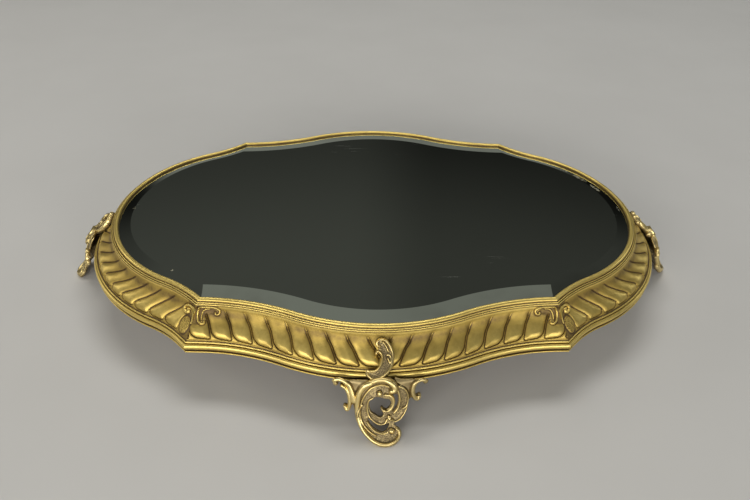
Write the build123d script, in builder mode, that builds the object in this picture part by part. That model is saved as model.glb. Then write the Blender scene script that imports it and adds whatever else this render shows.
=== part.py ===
"""Mirrored plateau: a four-lobed bevelled mirror in a gilt-brass frame on four scroll feet.

Millimetres, +Z up, origin on the table under the middle of the frame, +X along the
length, front towards -Y.  The outline is the visible inner edge of the rim.  Sections
are drawn in (u, z): u is the distance outwards from that edge, z the height off the table.
"""

import os
from collections import namedtuple
from math import acos, asin, atan2, cos, degrees, hypot, radians, sin

from build123d import *

# ---- outline of the rim's inner edge -------------------------------------------------
vertex_x = 136.0            # the four points of the outline
vertex_y = 130.0
front_crest = 160.7         # how far the front and back lobes reach from the middle
side_crest = 231.2          # how far the left and right lobes reach
front_convex_radius = 150.0
front_reverse_radius = 190.0
side_convex_radius = 119.0
side_reverse_radius = 122.0

# ---- heights, from the table up ------------------------------------------------------
foot_height = 35.5          # table to underside of the base moulding
base_height = 9.5
frieze_height = 21.0
rim_height = 5.0
base_bottom = foot_height
frieze_bottom = base_bottom + base_height
rim_bottom = frieze_bottom + frieze_height
rim_top = rim_bottom + rim_height

# ---- rim moulding --------------------------------------------------------------------
rim_width = 6.6
lip_cover = 2.2             # how far the rim's lip covers the edge of the glass
lip_thickness = 2.6
plate_clearance = 0.4       # glass edge to rebate wall
round_bead_width = 3.0
reed_width = 1.3
groove_width = 0.4
reed_step = 1.1             # each reed stands this much lower than its neighbour

# ---- frieze --------------------------------------------------------------------------
frieze_wall = 2.5
frieze_flare = 15.4         # how much wider the frieze is at the bottom than at the top

# ---- base moulding -------------------------------------------------------------------
base_projection = 26.0      # furthest point of the torus, measured from the outline
base_inner = 12.0           # inner face; the ledge inside the frieze carries the lugs

# ---- glass, card and board -----------------------------------------------------------
glass_thickness = 5.0
long_bevel_width = 16.0     # front and back edges are ground wider than the ends
side_bevel_width = 10.5
bevel_drop = 1.2
card_thickness = 0.5
board_thickness = 10.6
board_offset = 1.0          # edge of the board, just outside the visible opening
card_offset = lip_cover - 0.5
board_edge_chamfer = 0.8
glass_top = rim_top - lip_thickness + bevel_drop
glass_bottom = glass_top - glass_thickness
card_bottom = glass_bottom - card_thickness
board_bottom = card_bottom - board_thickness

# ---- turn-buttons, their lugs and screws ---------------------------------------------
pivot_offset = 5.0
front_button_angle = 20.0   # bearing of each button from its lobe's middle line
side_button_angle = 34.0
running_gap = 0.1
pivot_radius = 1.5
pivot_clearance = 0.05
screw_head_radius = 2.9
screw_head_height = 1.4
lug_thickness = 3.0
lug_half_width = 3.6
lug_reach = 3.4             # pivot to the lug's inner end
lug_seat = 3.5              # how far the lug lies over the ledge of the base moulding
button_thickness = 1.5
button_half_width = 3.0
riser_start = 6.6           # pivot to the near face of the button's crank
button_length = 14.0
lug_top = frieze_bottom + lug_thickness
button_bottom = lug_top + running_gap
head_bottom = button_bottom + button_thickness + running_gap

# ---- feet and their screws -----------------------------------------------------------
foot_width = 72.0           # across both ears
hip_offset = 36.0           # front of the hip, measured from the outline
toe_offset = 56.5           # furthest point of the toe, measured from the outline
toe_depth = 8.0
flange_thickness = 3.0
flange_half_width = 17.0
foot_screw_spacing = 24.0
foot_screw_offset = 20.5
foot_screw_radius = 1.5
foot_screw_clearance = 0.1
foot_screw_grip = 5.0       # length of thread in the base moulding
foot_head_radius = 2.8
foot_head_height = 2.0

Lobe = namedtuple("Lobe", "name turn half depth crest convex reverse other_reverse_centre")


def reverse_centre(half, depth, crest, convex, reverse):
    """Centre of the reverse arc that meets the vertex and the convex arc smoothly."""
    centre_y = crest - convex
    reach = hypot(half, depth - centre_y)
    span = convex + reverse
    swing = acos((reach**2 + span**2 - reverse**2) / (2 * reach * span))
    bearing = atan2(depth - centre_y, half) + swing
    return Vector(span * cos(bearing), centre_y + span * sin(bearing))


def make_lobes():
    """The four lobes in the order they follow each other round the frame."""
    long_sizes = (vertex_x, vertex_y, front_crest, front_convex_radius, front_reverse_radius)
    side_sizes = (vertex_y, vertex_x, side_crest, side_convex_radius, side_reverse_radius)
    long_centre = reverse_centre(*long_sizes)
    side_centre = reverse_centre(*side_sizes)
    lobes = []
    for name, turn in (("front", 180), ("left", 90), ("back", 0), ("right", 270)):
        is_long = name in ("front", "back")
        sizes = long_sizes if is_long else side_sizes
        neighbour = side_centre if is_long else long_centre
        lobes.append(Lobe(name, turn, *sizes, Vector(neighbour.Y, neighbour.X)))
    return lobes


LOBES = make_lobes()


def own_reverse_centre(lobe):
    return reverse_centre(lobe.half, lobe.depth, lobe.crest, lobe.convex, lobe.reverse)


def convex_centre(lobe):
    return Vector(0, lobe.crest - lobe.convex)


def place(lobe, point):
    """Turn a point from a lobe's own axes (y outwards through its middle) into the frame's."""
    return point.rotate(Axis.Z, lobe.turn)


def mirrored(point):
    return Vector(-point.X, point.Y)


def inflection(lobe, offset=0.0):
    """Where the convex arc hands over to the reverse arc, on the +x side."""
    centre = convex_centre(lobe)
    towards = (own_reverse_centre(lobe) - centre).normalized()
    return centre + towards * (lobe.convex + offset)


def vertex(lobe, offset=0.0, other_offset=None):
    """The corner shared with the next lobe, whose own offset may differ."""
    other_offset = offset if other_offset is None else other_offset
    other_reverse = LOBES[(LOBES.index(lobe) + 1) % 4].reverse
    first, second = own_reverse_centre(lobe), lobe.other_reverse_centre
    first_radius, second_radius = lobe.reverse - offset, other_reverse - other_offset
    apart = (second - first).length
    along = (apart**2 + first_radius**2 - second_radius**2) / (2 * apart)
    across = (first_radius**2 - along**2) ** 0.5
    step = (second - first).normalized()
    sideways = Vector(-step.Y, step.X)
    options = [first + step * along + sideways * across * side for side in (-1, 1)]
    return min(options, key=lambda point: point.length)


def arc_middle(start, end, centre):
    """Midpoint of the short arc from start to end about centre."""
    half_way = (start + end) * 0.5
    return centre + (half_way - centre).normalized() * (start - centre).length


def draw_lobe(lobe, offset=0.0, other_offset=None):
    """Three tangent arcs of one lobe, from its -x corner to its +x corner."""
    corner = vertex(lobe, offset, other_offset)
    turn = inflection(lobe, offset)
    middle = arc_middle(corner, turn, own_reverse_centre(lobe))
    crest = Vector(0, lobe.crest + offset)
    points = [mirrored(corner), mirrored(middle), mirrored(turn), crest, turn, middle, corner]
    points = [place(lobe, point) for point in points]
    ThreePointArc(points[0], points[1], points[2])
    ThreePointArc(points[2], points[3], points[4])
    ThreePointArc(points[4], points[5], points[6])


def mitre_plane(lobe, side):
    """Upright plane through a corner, facing away from the lobe."""
    corner = vertex(lobe)
    own_normal = (own_reverse_centre(lobe) - corner).normalized()
    other_normal = (lobe.other_reverse_centre - corner).normalized()
    along_mitre = (own_normal + other_normal).normalized()
    facing = Vector(along_mitre.Y, -along_mitre.X)
    if side < 0:
        corner, facing = mirrored(corner), mirrored(facing)
    return Plane(origin=place(lobe, corner), z_dir=place(lobe, facing))


def moulding_rail(lobe):
    """The lobe's outline with straight run-outs that the mitres are cut through."""
    corner = vertex(lobe)
    outwards = (own_reverse_centre(lobe) - corner).normalized()
    run_out = corner + Vector(outwards.Y, -outwards.X) * base_projection
    with BuildLine() as rail:
        Line(place(lobe, mirrored(run_out)), place(lobe, mirrored(corner)))
        draw_lobe(lobe)
        Line(place(lobe, corner), place(lobe, run_out))
    return rail.wire()


def section_plane(lobe):
    """Plane across the start of the rail: x outwards, y up."""
    rail = moulding_rail(lobe)
    travel = rail % 0
    return Plane(origin=rail @ 0, x_dir=Vector(0, 0, 1).cross(travel), z_dir=travel)


# ---- sections, drawn in (u, z) -------------------------------------------------------
def rim_section():
    """Half-round bead, then two reeds stepping down and outwards, over a rebate."""
    bead_foot = rim_top - round_bead_width / 2
    lip_bottom = rim_top - lip_thickness
    rebate = lip_cover + plate_clearance
    ThreePointArc((0, bead_foot), (round_bead_width / 2, rim_top), (round_bead_width, bead_foot))
    start, level = round_bead_width, bead_foot
    crest = rim_top - reed_step
    for _ in range(2):
        crest -= reed_step / 2
        foot = crest - reed_width / 2
        near = start + groove_width
        far = near + reed_width
        Polyline((start, level), (start, foot), (near, foot))
        ThreePointArc((near, foot), ((near + far) / 2, crest), (far, foot))
        start, level = far, foot
        crest -= reed_step / 2
    Polyline(
        (start, level),
        (rim_width, level),
        (rim_width, rim_bottom),
        (rebate, rim_bottom),
        (rebate, lip_bottom),
        (0, lip_bottom),
        (0, bead_foot),
    )


def on_frieze(across, down):
    """A point given as fractions of the frieze's flare and height, from its top edge."""
    return (rim_width + frieze_flare * across, rim_bottom - frieze_height * down)


def frieze_section():
    """Ogee shell: a cove under the rim, swelling to a full round at the bottom."""
    outside = [
        (0, 0), (0.05, 0.167), (0.17, 0.333), (0.364, 0.495),
        (0.623, 0.657), (0.844, 0.795), (0.974, 0.914), (1, 1),
    ]
    inside = [(0.838, 0.886), (0.643, 0.762), (0.357, 0.59), (0.117, 0.39), (0, 0.19)]
    top_inner = (rim_width - frieze_wall, rim_bottom)
    bottom_inner = (rim_width + frieze_flare - 1.6 * frieze_wall, frieze_bottom)
    inner_points = [on_frieze(*point) for point in inside]
    inner_points = [(u - frieze_wall, z) for u, z in inner_points]
    outer_points = [on_frieze(*point) for point in outside]
    Spline(*outer_points)
    Line(outer_points[-1], bottom_inner)
    Spline(bottom_inner, *inner_points)
    Line(inner_points[-1], top_inner)
    Line(top_inner, outer_points[0])


def base_section():
    """Top bead, torus, hollow and a thin square fillet at the bottom."""
    top, bottom, edge = frieze_bottom, base_bottom, base_projection
    bead_foot = top - base_height * 0.16
    torus_top = bead_foot - base_height * 0.05
    torus_bottom = torus_top - base_height * 0.5
    fillet_top = bottom + base_height * 0.12
    Line((base_inner, top), (edge - 2.8, top))
    ThreePointArc((edge - 2.8, top), (edge - 2.1, (top + bead_foot) / 2), (edge - 2.8, bead_foot))
    Polyline((edge - 2.8, bead_foot), (edge - 3.3, bead_foot), (edge - 3.3, torus_top))
    Line((edge - 3.3, torus_top), (edge - 2.2, torus_top))
    torus_middle = (edge, (torus_top + torus_bottom) / 2)
    ThreePointArc((edge - 2.2, torus_top), torus_middle, (edge - 2.2, torus_bottom))
    hollow_middle = (edge - 2.2, (torus_bottom + fillet_top) / 2 - 0.2)
    ThreePointArc((edge - 2.2, torus_bottom), hollow_middle, (edge - 1.2, fillet_top))
    Polyline(
        (edge - 1.2, fillet_top),
        (edge - 0.8, fillet_top),
        (edge - 0.8, bottom),
        (base_inner, bottom),
        (base_inner, top),
    )


def swept_strip(lobe, draw_section):
    """One moulding strip following its lobe, mitred at both corners."""
    with BuildPart() as strip:
        with BuildSketch(section_plane(lobe)):
            with BuildLine():
                draw_section()
            make_face()
        sweep(path=moulding_rail(lobe))
        split(bisect_by=mitre_plane(lobe, 1), keep=Keep.BOTTOM)
        split(bisect_by=mitre_plane(lobe, -1), keep=Keep.BOTTOM)
    return strip.part


def outline_face(offset, z, side_offset=None):
    """The whole four-lobed outline, offset outwards and filled, at height z."""
    side_offset = offset if side_offset is None else side_offset
    with BuildSketch(Plane.XY.offset(z)) as plate_outline:
        with BuildLine():
            for lobe in LOBES:
                pair = (side_offset, offset) if lobe.name in ("left", "right") else (offset, side_offset)
                draw_lobe(lobe, *pair)
        make_face()
    return plate_outline.sketch


def polar_locations(lobe, offset, bearing):
    """Places on the lobe's convex arc, one each side, with x pointing outwards."""
    centre = convex_centre(lobe)
    spots = []
    for side in (-1, 1):
        angle = 90 - side * bearing
        reach = lobe.convex + offset
        point = centre + Vector(cos(radians(angle)), sin(radians(angle))) * reach
        spots.append(Location(place(lobe, point), (0, 0, angle + lobe.turn)))
    return spots


def upright_section_plane(lobe, angle):
    """Plane through the convex arc's own axis: x outwards from the outline, y up."""
    outwards = Vector(cos(radians(angle)), sin(radians(angle)))
    origin = convex_centre(lobe) + outwards * lobe.convex
    travel = place(lobe, outwards).cross(Vector(0, 0, 1))
    return Plane(origin=place(lobe, origin), x_dir=place(lobe, outwards), z_dir=travel)


def convex_axis(lobe):
    return Axis(place(lobe, convex_centre(lobe)), (0, 0, 1))


def button_spots(lobe):
    bearing = front_button_angle if lobe.name in ("front", "back") else side_button_angle
    return polar_locations(lobe, pivot_offset, bearing)


def foot_screw_spots(lobe):
    reach = lobe.convex + foot_screw_offset
    return polar_locations(lobe, foot_screw_offset, degrees(foot_screw_spacing / 2 / reach))


def level_plane(spot, z):
    """Level plane at height z on a polar location, x pointing outwards."""
    return Plane(Location((0, 0, z)) * spot)


# ---- foot casting --------------------------------------------------------------------
def foot_section():
    """Side view of the casting: leaf up the frieze, hip, leg and splayed toe."""
    edge, hip, toe, foot = base_projection, hip_offset, toe_offset, base_bottom
    front = [
        on_frieze(0.383, 0.152),
        on_frieze(0.513, 0.31),
        on_frieze(0.714, 0.476),
        on_frieze(0.974, 0.648),
        on_frieze(1.26, 0.81),
        (edge + 4.4, frieze_bottom + 0.8),
        (edge + 8.8, foot + base_height * 0.77),
        (hip, foot + base_height * 0.35),
        (hip + 2.4, foot * 0.93),
        (hip + 4.2, foot * 0.73),
        (hip + 6.2, foot * 0.535),
        (hip + 9.9, foot * 0.31),
        (toe - 5.5, foot * 0.127),
        (toe, 0),
    ]
    back = [
        (toe - toe_depth, 0),
        (hip + 6.8, foot * 0.2),
        (hip + 3.0, foot * 0.4),
        (hip + 1.0, foot * 0.6),
        (hip - 0.9, foot * 0.8),
        (hip - 4.2, foot),
        (edge + 6.0, foot + base_height * 0.3),
        (edge + 2.2, foot + base_height * 0.68),
        (edge - 0.8, frieze_bottom),
        on_frieze(1.026, 0.857),
        on_frieze(0.766, 0.69),
        on_frieze(0.519, 0.524),
        on_frieze(0.325, 0.357),
        on_frieze(0.221, 0.214),
    ]
    Spline(*front)
    Line(front[-1], back[0])
    Spline(*back)
    Line(back[-1], front[0])


def foot_pattern(lobe):
    """Front view of the casting, drawn as someone facing the lobe sees it."""
    across = foot_width / 72
    up = (rim_bottom - frieze_height * 0.152) / 62.8

    def drawn(points):
        return [(x * across, z * up) for x, z in points]

    leaf = [
        (-1.5, 63.6), (-5.4, 62.2), (-7.0, 59.0), (-6.2, 55.6), (-4.4, 52.8), (-6.0, 50.2),
        (-10.4, 49.0), (-13.4, 47.4), (-12.8, 45.4), (-7.0, 42.0), (2.0, 42.0), (5.6, 47.0),
        (7.4, 51.6), (6.6, 56.4), (4.0, 60.6),
    ]
    leg = [
        (-0.9, 45.0), (-9.9, 44.2), (-17.2, 40.4), (-20.4, 33.0), (-20.2, 24.0), (-18.0, 14.0),
        (-13.0, 5.0), (-5.0, -1.5), (6.0, -1.5), (12.4, 4.0), (13.8, 10.0), (12.8, 15.0),
        (16.8, 20.6), (19.2, 28.0), (18.2, 36.0), (12.5, 42.0), (6.0, 44.6),
    ]
    left_ear = [
        (-37.0, 42.2), (-31.0, 45.2), (-23.0, 43.4), (-15.0, 40.0), (-16.0, 30.0), (-22.8, 25.4),
        (-27.4, 23.4), (-29.8, 26.0), (-27.6, 30.4), (-28.6, 35.4), (-31.6, 38.4), (-36.0, 39.2),
    ]
    right_ear = [
        (32.4, 43.4), (26.4, 45.2), (17.0, 43.0), (13.0, 38.0), (17.0, 31.0), (23.6, 28.8),
        (27.6, 30.8), (25.8, 34.2), (24.6, 38.0), (28.0, 40.0), (31.8, 40.6),
    ]
    crescent = [
        (-12.4, 19.0), (-9.6, 12.6), (-3.0, 8.8), (3.2, 10.4), (5.0, 14.0), (0.2, 12.2),
        (-5.0, 13.6), (-9.2, 18.4),
    ]
    outwards = place(lobe, Vector(0, 1))
    with BuildSketch(Plane(origin=(0, 0, 0), x_dir=place(lobe, Vector(-1, 0)), z_dir=outwards)) as view:
        for points in (leaf, leg, left_ear, right_ear):
            with BuildLine():
                Spline(*drawn(points), periodic=True)
            make_face()
        with BuildLine():
            Spline(*drawn(crescent), periodic=True)
        make_face(mode=Mode.SUBTRACT)
        with Locations((-2.7 * across, 28.0 * up)):
            Circle(4.4 * across, mode=Mode.SUBTRACT)
        with Locations((9.4 * across, 31.0 * up)):
            SlotOverall(12.0 * up, 3.2 * across, rotation=84, mode=Mode.SUBTRACT)
    return view.sketch


def foot_casting(lobe):
    """Pierced, curved casting with a screwed flange under the base moulding."""
    sweep_angle = degrees(asin((foot_width / 2 + 8) / lobe.convex))
    flange_angle = degrees(flange_half_width / (lobe.convex + base_inner))
    with BuildPart() as casting:
        with BuildSketch(upright_section_plane(lobe, 90 - sweep_angle)):
            with BuildLine():
                foot_section()
            make_face()
        revolve(axis=convex_axis(lobe), revolution_arc=2 * sweep_angle)
        extrude(foot_pattern(lobe), amount=lobe.crest + 2 * toe_offset, mode=Mode.INTERSECT)
        with BuildSketch(upright_section_plane(lobe, 90 - flange_angle)):
            with BuildLine():
                Polyline(
                    (base_inner + 0.8, base_bottom),
                    (hip_offset - 1.0, base_bottom),
                    (hip_offset - 1.0, base_bottom - flange_thickness),
                    (base_inner + 0.8, base_bottom - flange_thickness),
                    close=True,
                )
            make_face()
        revolve(axis=convex_axis(lobe), revolution_arc=2 * flange_angle)
        for spot in foot_screw_spots(lobe):
            with BuildSketch(level_plane(spot, base_bottom - flange_thickness)):
                Circle(foot_screw_radius + foot_screw_clearance)
            extrude(amount=flange_thickness, mode=Mode.SUBTRACT)
    return casting.part


def base_strip(lobe):
    """Base moulding strip with the two blind holes its foot is screwed into."""
    strip = swept_strip(lobe, base_section)
    with BuildPart() as drilled:
        add(strip)
        for spot in foot_screw_spots(lobe):
            with BuildSketch(level_plane(spot, base_bottom)):
                Circle(foot_screw_radius)
            extrude(amount=foot_screw_grip, mode=Mode.SUBTRACT)
    return drilled.part


def turn_button(spot):
    """Cranked button: eye under the pivot screw's head, riser, and a pad under the board."""
    riser_end = riser_start + button_thickness
    pad_top = board_bottom - running_gap
    with BuildPart() as button:
        with BuildSketch(level_plane(spot, button_bottom)):
            Circle(button_half_width)
            with Locations((-riser_end / 2, 0)):
                Rectangle(riser_end, 2 * button_half_width)
        extrude(amount=button_thickness)
        with BuildSketch(level_plane(spot, button_bottom)):
            with Locations((-(riser_start + riser_end) / 2, 0)):
                Rectangle(button_thickness, 2 * button_half_width)
        extrude(amount=pad_top - button_bottom)
        with BuildSketch(level_plane(spot, pad_top - button_thickness)):
            with Locations((-(riser_start + button_length - button_half_width) / 2, 0)):
                Rectangle(button_length - button_half_width - riser_start, 2 * button_half_width)
            with Locations((-(button_length - button_half_width), 0)):
                Circle(button_half_width)
        extrude(amount=button_thickness)
        with BuildSketch(level_plane(spot, button_bottom)):
            Circle(pivot_radius + pivot_clearance)
        extrude(amount=button_thickness, mode=Mode.SUBTRACT)
    return button.part


os.makedirs("parts", exist_ok=True)


def save(part, label):
    part.label = label
    export_step(part, f"parts/{label}.step")


for lobe in LOBES:
    save(swept_strip(lobe, rim_section), f"rim_moulding_{lobe.name}")
    save(swept_strip(lobe, frieze_section), f"frieze_{lobe.name}")
    save(base_strip(lobe), f"base_moulding_{lobe.name}")
    save(foot_casting(lobe), f"foot_{lobe.name}")

# Bevelled glass: square-edged plate to the ground margin, then the bevel up to the flat.
margin_top = glass_top - bevel_drop
with BuildPart() as mirror_plate:
    extrude(outline_face(lip_cover, glass_bottom), amount=margin_top - glass_bottom)
    flat_outline = outline_face(-long_bevel_width, glass_top, -side_bevel_width)
    loft([outline_face(0, margin_top), flat_outline], ruled=True)
save(mirror_plate.part, "mirror_plate")

with BuildPart() as backing_card:
    extrude(outline_face(card_offset, card_bottom), amount=card_thickness)
save(backing_card.part, "backing_card")

with BuildPart() as back_board:
    extrude(outline_face(board_offset, board_bottom), amount=board_thickness)
    chamfer(back_board.faces().sort_by(Axis.Z)[0].edges(), board_edge_chamfer)
save(back_board.part, "back_board")

# Lugs: short straps lying on the base moulding's inner ledge, tapped for the pivot screws.
lug_end = base_inner + lug_seat - pivot_offset
with BuildPart() as button_lugs:
    for lobe in LOBES:
        for spot in button_spots(lobe):
            with BuildSketch(level_plane(spot, frieze_bottom)):
                with Locations(((lug_end - lug_reach) / 2, 0)):
                    RectangleRounded(lug_end + lug_reach, 2 * lug_half_width, 1.2)
                Circle(pivot_radius, mode=Mode.SUBTRACT)
            extrude(amount=lug_thickness)
save(button_lugs.part, "button_lugs")

with BuildPart() as button_screws:
    for lobe in LOBES:
        for spot in button_spots(lobe):
            with BuildSketch(level_plane(spot, frieze_bottom)):
                Circle(pivot_radius)
            extrude(amount=head_bottom - frieze_bottom)
            with BuildSketch(level_plane(spot, head_bottom)):
                Circle(screw_head_radius)
            extrude(amount=screw_head_height)
            with BuildSketch(level_plane(spot, head_bottom + screw_head_height)):
                Rectangle(2 * screw_head_radius, 0.8)
            extrude(amount=-0.6, mode=Mode.SUBTRACT)
save(button_screws.part, "button_screws")

with BuildPart() as foot_screws:
    for lobe in LOBES:
        head_face = base_bottom - flange_thickness
        for spot in foot_screw_spots(lobe):
            with BuildSketch(level_plane(spot, head_face - foot_head_height)):
                Circle(foot_head_radius)
            extrude(amount=foot_head_height)
            with BuildSketch(level_plane(spot, head_face)):
                Circle(foot_screw_radius)
            extrude(amount=flange_thickness + foot_screw_grip)
            with BuildSketch(level_plane(spot, head_face - foot_head_height)):
                Rectangle(2 * foot_head_radius, 0.9)
            extrude(amount=0.9, mode=Mode.SUBTRACT)
save(foot_screws.part, "foot_screws")

number = 0
for lobe in LOBES:
    for spot in button_spots(lobe):
        number += 1
        save(turn_button(spot), f"turn_button_{number}")
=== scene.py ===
"""Looks for the mirrored plateau: a bevelled mirror in a gadrooned gilt-brass frame on scroll feet."""

import math

import bpy
import numpy as np
from mathutils import Matrix, Vector


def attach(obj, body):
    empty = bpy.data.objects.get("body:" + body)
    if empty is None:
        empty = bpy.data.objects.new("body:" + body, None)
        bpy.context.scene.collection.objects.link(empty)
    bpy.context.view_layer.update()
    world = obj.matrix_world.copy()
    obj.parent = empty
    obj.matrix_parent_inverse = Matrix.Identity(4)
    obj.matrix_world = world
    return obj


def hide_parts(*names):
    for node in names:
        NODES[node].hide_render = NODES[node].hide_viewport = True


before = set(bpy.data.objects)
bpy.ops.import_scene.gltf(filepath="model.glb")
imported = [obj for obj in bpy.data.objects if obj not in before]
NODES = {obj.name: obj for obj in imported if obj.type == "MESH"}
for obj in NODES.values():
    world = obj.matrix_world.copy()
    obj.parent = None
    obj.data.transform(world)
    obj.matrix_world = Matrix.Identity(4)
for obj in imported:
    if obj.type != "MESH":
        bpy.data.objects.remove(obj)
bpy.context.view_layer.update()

MM = 0.001
DETAIL = 1.0

# --- Outline of the rim's inner edge, in millimetres: the same four lobes as the CAD ---
VERTEX_X, VERTEX_Y = 136.0, 130.0
RIM_BOTTOM = 66.0
FRIEZE_BOTTOM = 45.0
BASE_BOTTOM = 35.5
RIM_WIDTH = 6.6
FLARE = 15.4
LIP_BOTTOM = 68.4
MARGIN_TOP = 68.4
GLASS_TOP = 69.6
GLASS_BOTTOM = 64.6
GLASS_EDGE = 2.2
REBATE = 2.6
LONG_BEVEL, SIDE_BEVEL = 16.0, 10.5


class Lobe:
    """One panel of the frame, in its own axes: x along the chord, y outwards."""

    def __init__(self, name, turn, half, depth, crest, convex, reverse):
        self.name, self.turn, self.half, self.depth = name, turn, half, depth
        self.crest, self.convex, self.reverse = crest, convex, reverse
        self.c1 = np.array([0.0, crest - convex])
        reach = math.hypot(half, depth - self.c1[1])
        span = convex + reverse
        swing = math.acos((reach**2 + span**2 - reverse**2) / (2 * reach * span))
        bearing = math.atan2(depth - self.c1[1], half) + swing
        self.c2 = self.c1 + span * np.array([math.cos(bearing), math.sin(bearing)])
        self.phi1 = math.pi / 2 - bearing
        to_c2 = self.c2 - np.array([half, depth])
        self.phi_end = math.atan2(to_c2[0], to_c2[1])
        self.s1 = convex * self.phi1
        self.s_end = self.s1 + reverse * (self.phi1 - self.phi_end)

    def frame_at(self, s):
        """Point and outward normal at signed arc length s from the crest; straight past the corner."""
        s = np.asarray(s, float)
        d = np.abs(s)
        phi = np.where(
            d < self.s1,
            d / self.convex,
            np.maximum(self.phi1 - (d - self.s1) / self.reverse, self.phi_end),
        )
        sin, cos = np.sin(phi), np.cos(phi)
        on_convex = d < self.s1
        px = np.where(on_convex, self.c1[0] + self.convex * sin, self.c2[0] - self.reverse * sin)
        py = np.where(on_convex, self.c1[1] + self.convex * cos, self.c2[1] - self.reverse * cos)
        past = np.maximum(d - self.s_end, 0.0)
        px = px + past * np.where(on_convex, 0.0, cos)
        py = py - past * np.where(on_convex, 0.0, sin)
        sign = np.where(s < 0, -1.0, 1.0)
        return px * sign, py, sin * sign, cos

    def world(self, x, y):
        c, s = math.cos(math.radians(self.turn)), math.sin(math.radians(self.turn))
        return c * x - s * y, s * x + c * y


LONG = (VERTEX_X, VERTEX_Y, 160.7, 150.0, 190.0)
SIDE = (VERTEX_Y, VERTEX_X, 231.2, 119.0, 122.0)
LOBES = [
    Lobe("front", 180, *LONG),
    Lobe("left", 90, *SIDE),
    Lobe("back", 0, *LONG),
    Lobe("right", 270, *SIDE),
]
MITRE = math.tan((math.pi / 2 - LOBES[0].phi_end - LOBES[1].phi_end) / 2)


# --- Mesh building ---
def piece(name, verts, faces, material, stands_for=(), body="frame", values=None, sharp=42.0):
    """A mesh piece from millimetre vertices and a list of face arrays (N x 3 or N x 4 or one ngon)."""
    mesh = bpy.data.meshes.new(name)
    verts = np.asarray(verts, float) * MM
    blocks = [np.atleast_2d(np.asarray(f, np.int64)) for f in faces if len(f)]
    loops = np.concatenate([b.ravel() for b in blocks])
    sizes = np.concatenate([np.full(len(b), b.shape[1]) for b in blocks])
    mesh.vertices.add(len(verts))
    mesh.vertices.foreach_set("co", verts.ravel())
    mesh.loops.add(len(loops))
    mesh.loops.foreach_set("vertex_index", loops.astype(np.int32))
    mesh.polygons.add(len(sizes))
    starts = np.concatenate([[0], np.cumsum(sizes)[:-1]]).astype(np.int32)
    mesh.polygons.foreach_set("loop_start", starts)
    mesh.update(calc_edges=True)
    mesh.validate()
    for key, data in (values or {}).items():
        attribute = mesh.attributes.new(key, "FLOAT", "POINT")
        attribute.data.foreach_set("value", np.asarray(data, np.float32).ravel())
    mesh.polygons.foreach_set("use_smooth", np.ones(len(mesh.polygons), bool))
    if sharp:
        mesh.set_sharp_from_angle(angle=math.radians(sharp))
    obj = bpy.data.objects.new(name, mesh)
    bpy.context.scene.collection.objects.link(obj)
    mesh.materials.append(material)
    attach(obj, body)
    if stands_for:
        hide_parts(*stands_for)
    return obj


def grid_quads(rows, columns, wrap_columns=False, base=0):
    """Quads of a rows x columns vertex grid."""
    i = np.arange(rows - 1)[:, None]
    j = np.arange(columns if wrap_columns else columns - 1)[None, :]
    k = (j + 1) % columns
    a, b = i * columns + j, (i + 1) * columns + j
    c, d = (i + 1) * columns + k, i * columns + k
    return np.stack([a, b, c, d], -1).reshape(-1, 4) + base


def arc(p, q, bulge, count):
    """Points of a half-ellipse-like arc from p to q, bulging by the vector bulge; p left out."""
    a = np.linspace(0, math.pi, count + 1)[1:]
    p, q, bulge = np.array(p, float), np.array(q, float), np.array(bulge, float)
    middle, half = (p + q) / 2, (q - p) / 2
    return middle - np.outer(np.cos(a), half) + np.outer(np.sin(a), bulge)


def smooth(points, per_span=8, closed=False):
    """Catmull-Rom curve through points."""
    p = np.array(points, float)
    if closed:
        p = np.vstack([p[-1], p, p[0], p[1]])
    else:
        p = np.vstack([2 * p[0] - p[1], p, 2 * p[-1] - p[-2]])
    out = []
    t = np.linspace(0, 1, per_span, endpoint=False)[:, None]
    for a, b, c, d in zip(p[:-3], p[1:-2], p[2:-1], p[3:]):
        square = 2 * a - 5 * b + 4 * c - d
        cubic = 3 * b - a - 3 * c + d
        out.append(0.5 * (2 * b + (c - a) * t + square * t**2 + cubic * t**3))
    curve = np.vstack(out)
    return curve if closed else np.vstack([curve, p[-2]])


def smoothstep(low, high, x):
    t = np.clip((x - low) / (high - low), 0, 1)
    return t * t * (3 - 2 * t)


def distance_to(curve, x, y, radii=None):
    """Distance from each point to a polyline, and the blended radius at the nearest place."""
    best = np.full(x.shape, 1e9)
    radius = np.zeros(x.shape)
    if radii is None:
        radii = np.zeros(len(curve))
    low, high = curve.min(0) - 7, curve.max(0) + 7
    near = (x > low[0]) & (x < high[0]) & (y > low[1]) & (y < high[1])
    xs, ys = x[near], y[near]
    b, r = best[near], radius[near]
    for (ax, ay), (bx, by), ra, rb in zip(curve[:-1], curve[1:], radii[:-1], radii[1:]):
        dx, dy = bx - ax, by - ay
        t = np.clip(((xs - ax) * dx + (ys - ay) * dy) / max(dx * dx + dy * dy, 1e-12), 0, 1)
        d = np.hypot(xs - ax - t * dx, ys - ay - t * dy)
        closer = d < b
        b = np.where(closer, d, b)
        r = np.where(closer, ra + (rb - ra) * t, r)
    best[near], radius[near] = b, r
    return best, radius


def inside(curve, x, y):
    """Even-odd test of points against a closed curve."""
    result = np.zeros(x.shape, bool)
    for (ax, ay), (bx, by) in zip(curve, np.roll(curve, -1, 0)):
        if ay == by:
            continue
        crosses = ((ay > y) != (by > y)) & (x < (bx - ax) * (y - ay) / (by - ay) + ax)
        result ^= crosses
    return result


def signed(curve, x, y):
    """Signed distance to a closed curve, positive inside."""
    d, _ = distance_to(np.vstack([curve, curve[:1]]), x, y)
    d = np.minimum(d, 50)
    return np.where(inside(curve, x, y), d, -d)


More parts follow.
